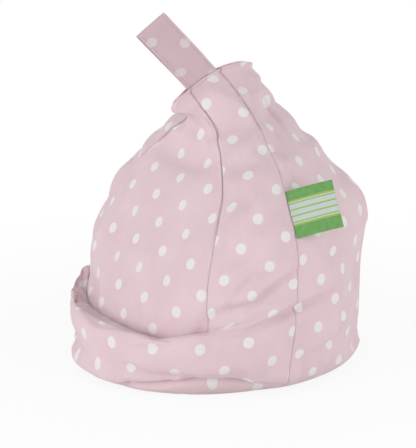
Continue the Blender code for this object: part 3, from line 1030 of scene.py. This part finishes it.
# %% Rolled edges
class RollStep(NamedTuple):
    """One strip of a rolled edge."""
    back: float                     # how far it lies back from the seam
    sink: float                     # and how deep
    over: float                     # along the ridge, its share of the way over the top
    rise: float                     # and how far it stands up


SEAM_ROLL = (
    RollStep(0.0009, 0.0000, 0.0, 0.0),
    RollStep(0.0004, 0.00015, 0.3, 0.0005),
    RollStep(0.00008, 0.0005, 0.8, 0.0004),
    RollStep(0.00006, 0.0013, 1.0, -0.0015),
)
STRAP_Y = -0.0148                   # where the strap comes out of the ridge
STRAP_WIDTH = 0.030
STRAP_CLOTH = 0.0012                # how thick the strap is
SLIT_HALF, SLIT_ROOM = 0.00015, 0.0002
SLIT_CLOSES = 0.006                 # how far beside the strap the slit is closed again


def inward_ways(edges):
    """For each rim point, the way into the panel along its surface."""
    ways = {}
    for edge in edges:
        loop = edge.link_loops[0]
        along = (loop.link_loop_next.vert.co - loop.vert.co).normalized()
        for vert in edge.verts:
            way = vert.normal.cross(along).normalized()
            ways[vert] = ways.get(vert, Vector()) + way
    return {vert: way.normalized() for vert, way in ways.items()}


def strap_slot(y):
    """Half the width of the slit along the ridge, which only the strap holds open."""
    beyond = abs(y - STRAP_Y) - STRAP_WIDTH / 2
    return SLIT_HALF + (STRAP_CLOTH + SLIT_ROOM) * (1 - ease(beyond / SLIT_CLOSES))


def roll_edges(bm, ridge):
    """Draws the rim back from the seam, then rolls new strips over the edge and down."""
    edges = [edge for edge in bm.edges if edge.is_boundary]
    ways = inward_ways(edges)
    home = {vert: (vert.co.copy(), way, vert.normal.copy()) for vert, way in ways.items()}

    def rolled(origin, step):
        place, way, normal = home[origin]
        if origin not in ridge:
            return place + way * step.back - normal * step.sink
        closed = math.copysign(min(strap_slot(place.y), abs(place.x)), place.x)
        along = Vector((0, way.y, 0)) * step.back
        return Vector((place.x + (closed - place.x) * step.over, place.y, place.z + step.rise)) + along

    origins = {vert: vert for vert in ways}
    for vert in ways:
        vert.co = rolled(vert, SEAM_ROLL[0])
    for step in SEAM_ROLL[1:]:
        made = bmesh.ops.extrude_edge_only(bm, edges=edges)["geom"]
        edges = [item for item in made if isinstance(item, bmesh.types.BMEdge) and item.is_boundary]
        fresh = {}
        for vert in (item for item in made if isinstance(item, bmesh.types.BMVert)):
            neighbours = (edge.other_vert(vert) for edge in vert.link_edges)
            fresh[vert] = next(origins[other] for other in neighbours if other in origins)
            vert.co = rolled(fresh[vert], step)
        origins = fresh


print("strips of a rolled edge:", len(SEAM_ROLL) - 1)

# %% The four cloth pieces
def sewn_piece(name, bm, finish):
    """Turns a mesh in progress into a smooth object that rides on the cushion's body."""
    mesh = bpy.data.meshes.new(name)
    bm.to_mesh(mesh)
    bm.free()
    mesh.shade_smooth()
    mesh.materials.append(finish)
    made = add_object(name, mesh)
    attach(made, "root")
    return made


top_row = len(fine_skin) - 1
for name, found in squares.items():
    flat = between_columns(between_rows(patterns[name]))
    bm, verts = panel_mesh(found, fine_skin, fine_normals, flat)
    if name == "base_panel":
        base_net(bm, [verts[0, column] for column in range(fine_skin.shape[1])])
    roll_edges(bm, {vert for (row, _), vert in verts.items() if row == top_row})
    piece = sewn_piece(name.replace("panel", "cloth"), bm, cover_cotton)
    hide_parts(name)
    if name == "wrap_panel":
        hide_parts("bead_filling")
    print(piece.name, "has", len(piece.data.polygons), "faces")

# %% [markdown]
# ## The strap
#
# The strap is one strip of the same cotton, turned in along both edges and stitched there,
# then folded in half. Both ends are sewn into the ridge. It is made as a line that goes up,
# turns over and comes down, with a thin rounded band swept along it. Real thread lies on the
# band: each stitch is a small spindle of its own.

# %% Folded strips
RIM_POINTS = 5                      # points round the edge of a band
FOLD_POINTS = 11                    # points round its fold
DENT_SHARE, DENT_WIDTH = 0.45, 0.0009
BAND_STEP = 0.0010


class Strip(NamedTuple):
    """A band of cloth that is folded in half."""
    width: float
    cloth: float                    # its thickness
    length: float                   # from the root to the fold
    tail: float                     # hidden below the root
    bulge: float                    # half the distance between its layers at the fold
    root_half: float                # and at the root
    opens: tuple                    # the stretch over which they part


def half_gap(strip, along):
    """Half the distance between the middles of the two layers."""
    share = ease((along - strip.opens[0]) / (strip.opens[1] - strip.opens[0]))
    return strip.root_half + (strip.bulge - strip.root_half) * share


def folded_line(strip, step):
    """Points (aside, along) up one layer, round the fold and down the other."""
    turn = strip.length - strip.bulge - strip.cloth / 2
    leg = np.linspace(-strip.tail, turn, round((turn + strip.tail) / step) + 1)
    half = half_gap(strip, leg)
    arc = np.linspace(0, math.pi, FOLD_POINTS)[1:-1]
    bend = np.stack([strip.bulge * np.cos(arc), turn + strip.bulge * np.sin(arc)], axis=-1)
    up, down = np.stack([half, leg], axis=-1), np.stack([-half, leg], axis=-1)[::-1]
    return np.concatenate([up, bend, down])


def band_profile(strip, step):
    """A flat loop (across, through) round a band with rounded edges."""
    radius = strip.cloth / 2
    edge = strip.width / 2 - radius
    flat = np.linspace(-edge, edge, round(strip.width / step))
    arc = np.linspace(-math.pi / 2, math.pi / 2, RIM_POINTS + 2)[1:-1]
    right = np.stack([flat[-1] + radius * np.cos(arc), radius * np.sin(arc)], axis=-1)
    lower = np.stack([flat, np.full(len(flat), -radius)], axis=-1)
    return np.concatenate([lower, right, lower[::-1] * (1, -1), right[::-1] * (-1, 1)])


def swept_band(strip, to_space, stitch_lines=(), cut_at=(0.0, 0.0)):
    """A mesh in progress of a band along its folded line, with its flat coordinates."""
    line, profile = folded_line(strip, BAND_STEP), band_profile(strip, BAND_STEP)
    along = np.gradient(line, axis=0)
    along /= np.linalg.norm(along, axis=-1, keepdims=True)
    aside = np.stack([along[:, 1], -along[:, 0]], axis=-1)
    run = np.concatenate([[0], np.cumsum(np.linalg.norm(np.diff(line, axis=0), axis=-1))])
    bm = bmesh.new()
    layer = bm.loops.layers.uv.new(CUTTING)
    grid = []
    for place, away in zip(line, aside):
        through = profile[:, 1:] * (1 - stitch_dent(profile[:, :1], stitch_lines))
        points = to_space(place + away * through, profile[:, 0])
        grid.append([bm.verts.new(point) for point in points])
    count = len(profile)
    for row in range(len(grid) - 1):
        for k in range(count):
            after = (k + 1) % count
            places = ((k, row), (after, row), (after, row + 1), (k, row + 1))
            face = bm.faces.new([grid[at][number] for number, at in places])
            for loop, (number, at) in zip(face.loops, places):
                loop[layer].uv = (profile[number, 0] + cut_at[0], run[at] + cut_at[1])
    bm.faces.new(list(reversed(grid[0])))
    bm.faces.new(grid[-1])
    return bm


def stitch_dent(across, lines):
    """How much thinner a band is where a row of stitches pulls it together."""
    return sum(DENT_SHARE * np.exp(-((across - line) / DENT_WIDTH) ** 2) for line in lines)


print("a band has a point every", round(BAND_STEP * 1000, 2), "mm")

# %% Strap
STRAP_LENGTH = 0.0706
STRAP_LEAN = math.radians(43.9)
STRAP_END_SKEW = -0.19
STRAP_CUT_AT = (0.010, 0.019)       # where on the dotted cloth the strip was cut
STRAP_CURL = 0.0007
STITCH_INSET = 0.0027

strap_strip = Strip(
    width=STRAP_WIDTH, cloth=STRAP_CLOTH, length=STRAP_LENGTH, tail=0.003,
    bulge=0.0020, root_half=0.00075, opens=(0.006, 0.040),
)
strap_along = np.array([0, -math.sin(STRAP_LEAN), math.cos(STRAP_LEAN)])
strap_across = np.array([0, math.cos(STRAP_LEAN), math.sin(STRAP_LEAN)])
strap_root = np.array([0, STRAP_Y, ridge_height(STRAP_Y)])


def strap_space(flat, across):
    """Lays points (aside, along) at a place across the strap into the cushion's frame."""
    share = np.clip((flat[:, 1] + strap_strip.tail) / (STRAP_LENGTH + strap_strip.tail), 0, 1)
    ridge_tilt = math.atan(2 * RIDGE_DROP * (RIDGE_PEAK_Y - STRAP_Y))
    skew = (1 - share) * math.tan(ridge_tilt - STRAP_LEAN) + share * STRAP_END_SKEW
    along = flat[:, 1] + skew * across
    points = strap_root + along[:, None] * strap_along + across[:, None] * strap_across
    curl = STRAP_CURL * np.sin(along / 0.013 + across / 0.020)
    points[:, 0] += flat[:, 0] + curl * ease(along / 0.02)
    return points


edge_lines = (STITCH_INSET - STRAP_WIDTH / 2, STRAP_WIDTH / 2 - STITCH_INSET)
bm = swept_band(strap_strip, strap_space, edge_lines, STRAP_CUT_AT)
# The strap's cotton is darker than the cover's: painted shade.
strap = sewn_piece("strap", bm, strap_cotton_painted_shade)
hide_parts("handle_strap")
print("strap:", len(strap.data.polygons), "faces")

# %% Stitches of the strap
STITCH_LENGTH, STITCH_STEP, STITCH_HALF = 0.0021, 0.0027, 0.00022
STITCH_SINK = 0.00012               # how far the ends of a stitch lie in the cloth
FIRST_STITCH = 0.0008


def strap_side(side, across, along):
    """A place on one outer face of the strap."""
    aside = side * (half_gap(strap_strip, along) + STRAP_CLOTH / 2 - STITCH_SINK)
    return strap_space(np.array([[aside, along]]), np.array([across]))[0]


def stitch_places():
    """The two ends of every stitch, on both outer faces."""
    edge = STRAP_WIDTH / 2 - STITCH_INSET
    top = STRAP_LENGTH - STITCH_INSET
    for side in (-1, 1):
        for line in (-edge, edge):
            for start in np.arange(FIRST_STITCH, top - STITCH_LENGTH, STITCH_STEP):
                yield strap_side(side, line, start), strap_side(side, line, start + STITCH_LENGTH)
        for start in np.arange(-edge, edge - STITCH_LENGTH, STITCH_STEP):
            yield strap_side(side, start, top), strap_side(side, start + STITCH_LENGTH, top)


def spindle(bm, start, end, half, sides=6, rings=4):
    """A stitch: thick in its middle, with both ends sunk into the cloth."""
    start, end = Vector(start), Vector(end)
    axis = (end - start).normalized()
    first = axis.cross(Vector((1, 0, 0.01))).normalized()
    second = axis.cross(first)
    loops = []
    for ring in range(1, rings):
        share = ring / rings
        radius = half * math.sin(share * math.pi) ** 0.5
        turn = [step * math.tau / sides for step in range(sides)]
        middle = start.lerp(end, share)
        loops.append([
            bm.verts.new(middle + (first * math.cos(a) + second * math.sin(a)) * radius) for a in turn
        ])
    for lower, upper in zip(loops, loops[1:]):
        for k in range(sides):
            after = (k + 1) % sides
            bm.faces.new((lower[k], lower[after], upper[after], upper[k]))
    for tip, loop in ((bm.verts.new(start), loops[0][::-1]), (bm.verts.new(end), loops[-1])):
        for k in range(sides):
            bm.faces.new((loop[k], loop[(k + 1) % sides], tip))


def thread_finish():
    """Spun sewing thread, a little pinker than the strap."""
    finish = Finish("strap thread")
    place = finish.node("ShaderNodeTexCoord", output=3)
    fuzz = finish.noise(place, 2500.0, 2.0)
    tone = finish.mix(fuzz, (0.57, 0.37, 0.425), (0.66, 0.46, 0.51))
    return finish.surface(Base_Color=tone, Roughness=0.7, Normal=finish.bump(fuzz, 0.00005))


bm = bmesh.new()
for start, end in stitch_places():
    spindle(bm, start, end, STITCH_HALF)
stitches = sewn_piece("strap_stitches", bm, thread_finish())
print("stitches:", len(list(stitch_places())))

# %% [markdown]
# ## The side label
#
# A woven label sits in the right side seam: a short tape, folded in half, with both raw ends
# in the seam. Its face carries a plain design in two greens: a pale band with fine stripes.
# The tape is smooth satin, with fine ribs from its own threads and a soft sheen.

# %% Label shape
LABEL_WIDTH, LABEL_HEIGHT = 0.0385, 0.040
LABEL_MIDDLE = 0.1485
LABEL_STAND_OFF = math.radians(37)
LABEL_BOW, LABEL_CURL = 0.0012, 0.0010
LABEL_SEAM_BEND = 0.9               # how far its root follows the seam's curve
LABEL_ROOT_OUT = 0.0007

label_strip = Strip(
    width=LABEL_HEIGHT, cloth=0.00032, length=LABEL_WIDTH, tail=0.0004,
    bulge=0.00042, root_half=0.00022, opens=(0.004, 0.034),
)


def seam_place(height):
    """A point of the right side seam at a height, and the seam's own direction."""
    seam = fine_skin[:, 0]
    rows = np.flatnonzero((fine_levels > on("groove")) & (fine_levels < on("crown")))
    place, above = (
        np.array([np.interp(z, seam[rows, 2], seam[rows, axis]) for axis in range(3)])
        for z in (height, height + 0.001)
    )
    return place, (above - place) / np.linalg.norm(above - place)


def label_frame():
    """The label's root, and its directions up the seam, outwards and off its face."""
    root, up = seam_place(LABEL_MIDDLE)
    rear = np.array([0, 1, 0]) - up * up[1]
    rear /= np.linalg.norm(rear)
    out = np.cross(rear, up)
    reach = math.cos(LABEL_STAND_OFF) * rear + math.sin(LABEL_STAND_OFF) * out
    face = math.cos(LABEL_STAND_OFF) * out - math.sin(LABEL_STAND_OFF) * rear
    return root + out * LABEL_ROOT_OUT, up, reach, face


def label_space(flat, across):
    """Lays points (aside, along) at a place up the label into the cushion's frame."""
    root, up, reach, face = label_frame()
    share = flat[:, 1] / LABEL_WIDTH
    bow = LABEL_BOW * np.sin(np.clip(share, 0, 1) * math.pi)
    curl = LABEL_CURL * share ** 2 * (across / LABEL_HEIGHT * 2) ** 2
    seam_bend = -LABEL_SEAM_BEND * across ** 2 * (1 - share)
    offset = flat[:, 0] + bow - curl
    points = root + up * across[:, None] + reach * flat[:, 1:2] + face * offset[:, None]
    return points + seam_bend[:, None] * face


print("label root in mm:", np.round(label_frame()[0] * 1000, 1))

# %% Label satin
LABEL_GREEN = (0.115, 0.305, 0.072)
LABEL_GREEN_LIGHT = (0.150, 0.355, 0.100)
LABEL_PALE = (0.500, 0.590, 0.560)
LABEL_LIME = (0.330, 0.440, 0.075)
BAND_MIDDLE, BAND_HALF = 0.001, 0.0104
RIM_FROM, STRIPES_TO = 0.0090, 0.0082
STRIPE_PITCH, STRIPE_HALF = 0.0052, 0.10
PRINT_EDGE = 0.0004
RIB_PITCH, CROSS_PITCH = 0.00045, 0.0009


def label_finish():
    """Satin tape with a pale band and lime stripes on a green ground."""
    finish = Finish("label satin")
    place = flat_place(finish)
    up, along, _ = finish.parts(place)
    ribs = (along * (math.tau / RIB_PITCH)).sine() * 0.5 + 0.5
    cross = (up * (math.tau / CROSS_PITCH)).sine() * 0.5 + 0.5
    cloud = finish.noise(place, 220.0, 3.0)
    ground = finish.mix(cloud.between(0.3, 0.7), LABEL_GREEN, LABEL_GREEN_LIGHT)
    off = abs(up - BAND_MIDDLE)
    band = 1 - off.between(BAND_HALF, BAND_HALF + PRINT_EDGE)
    rim = band * off.between(RIM_FROM, RIM_FROM + PRINT_EDGE)
    inner = abs((off / STRIPE_PITCH).fraction() - 0.5)
    inside = 1 - off.between(STRIPES_TO, STRIPES_TO + PRINT_EDGE / 2)
    stripes = band * (1 - inner.between(STRIPE_HALF, STRIPE_HALF + 0.04)) * inside
    printed = finish.mix(band, ground, LABEL_PALE)
    printed = finish.mix(rim.greater(stripes), printed, LABEL_LIME)
    return finish.surface(
        Base_Color=finish.shaded(printed, 0.93 + 0.09 * ribs * cross),
        Roughness=0.48 + 0.12 * cloud,
        Normal=finish.bump(ribs * 0.7 + cross * 0.3, 0.00003),
        Specular_IOR_Level=0.4,
        Sheen_Weight=0.15,
    )


bm = swept_band(label_strip, label_space)
label = sewn_piece("label", bm, label_finish())
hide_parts("side_label")
print("label:", len(label.data.polygons), "faces")

# %% [markdown]
# ## Stage and light
#
# The photograph was taken in very soft, even light on white. A pale floor carries only the
# contact shadow: to the camera it adds white of its own, so that it disappears into the
# background, and the cushion is lit by one large soft lamp, a weaker one and the world.

# %% Stage and light
FLOOR_HALF = 3.0
FLOOR_GLOW = 0.88                   # the share of plain white that is seen beside the cushion
GLOW_NEAR, GLOW_FAR = 0.15, 0.50    # from where the floor turns white, and where it is
LIT_PLACE = (0, 0, 0.1)             # what the lamps face
WORLD_LIGHT = 0.62
LAMPS = {                           # place, size in metres and power in watts
    "key": ((0.1, -1.9, 0.3), 1.6, 25.5),
    "fill": ((1.7, 0.9, 0.45), 1.4, 16.5),
}


def is_seen(finish):
    """One for camera, mirror and glass rays."""
    path = finish.node("ShaderNodeLightPath").socket.node
    camera_ray, glossy, clear = (
        Wire(finish, path.outputs[name])
        for name in ("Is Camera Ray", "Is Glossy Ray", "Is Transmission Ray")
    )
    return camera_ray.greater(glossy).greater(clear)


def floor_material():
    """A matt white floor, which shows the camera little but its shadows."""
    finish = Finish("white floor")
    finish.surface(Base_Color=(0.94, 0.94, 0.94), Roughness=0.9, Specular_IOR_Level=0.1)
    glow = finish.node("ShaderNodeEmission", None, {"Color": (1, 1, 1), "Strength": 1.0})
    lit = Wire(finish, finish.shader.outputs[0])
    place = finish.node("ShaderNodeTexCoord", output=3)
    far = finish.node("ShaderNodeVectorMath", {"operation": "LENGTH"}, {0: place}, output=1)
    share = is_seen(finish) * (FLOOR_GLOW + (1 - FLOOR_GLOW) * far.between(GLOW_NEAR, GLOW_FAR))
    both = finish.node("ShaderNodeMixShader", None, {0: share, 1: lit, 2: glow})
    finish.feed(finish.tree.nodes["Material Output"].inputs["Surface"], both)
    return finish.material


def make_floor(half):
    """A square floor, from its half width."""
    corners = [(-half, -half, 0), (half, -half, 0), (half, half, 0), (-half, half, 0)]
    floor = plain_object("floor", corners, [(0, 1, 2, 3)])
    floor.data.materials.append(floor_material())


def soft_lamp(name, place, size, power):
    """A square lamp that faces the cushion."""
    light = bpy.data.lights.new(name, "AREA")
    light.size, light.energy = size, power
    lamp = add_object(name, light)
    lamp.location = place
    lamp.rotation_mode = "QUATERNION"
    lamp.rotation_quaternion = (Vector(place) - Vector(LIT_PLACE)).to_track_quat("Z", "Y")


def white_world():
    """White to the camera, to mirrors and through glass, and plain grey light elsewhere."""
    world = bpy.data.worlds.new("studio")
    world.use_nodes = True
    tree = world.node_tree
    background = tree.nodes["Background"]
    path = tree.nodes.new("ShaderNodeLightPath")
    seen = path.outputs["Is Camera Ray"]
    for name in ("Is Glossy Ray", "Is Transmission Ray"):
        either = tree.nodes.new("ShaderNodeMath")
        either.operation = "MAXIMUM"
        tree.links.new(seen, either.inputs[0])
        tree.links.new(path.outputs[name], either.inputs[1])
        seen = either.outputs[0]
    strength = tree.nodes.new("ShaderNodeMapRange")
    strength.inputs["To Min"].default_value = WORLD_LIGHT
    strength.inputs["To Max"].default_value = 1.0
    tree.links.new(seen, strength.inputs["Value"])
    tree.links.new(strength.outputs[0], background.inputs["Strength"])
    background.inputs["Color"].default_value = (1, 1, 1, 1)
    bpy.context.scene.world = world


make_floor(FLOOR_HALF)
white_world()
for name, (place, size, power) in LAMPS.items():
    soft_lamp(name, place, size, power)
bpy.context.scene.view_settings.view_transform = "Standard"
print("floor, world and", len(bpy.data.lights), "lamps")
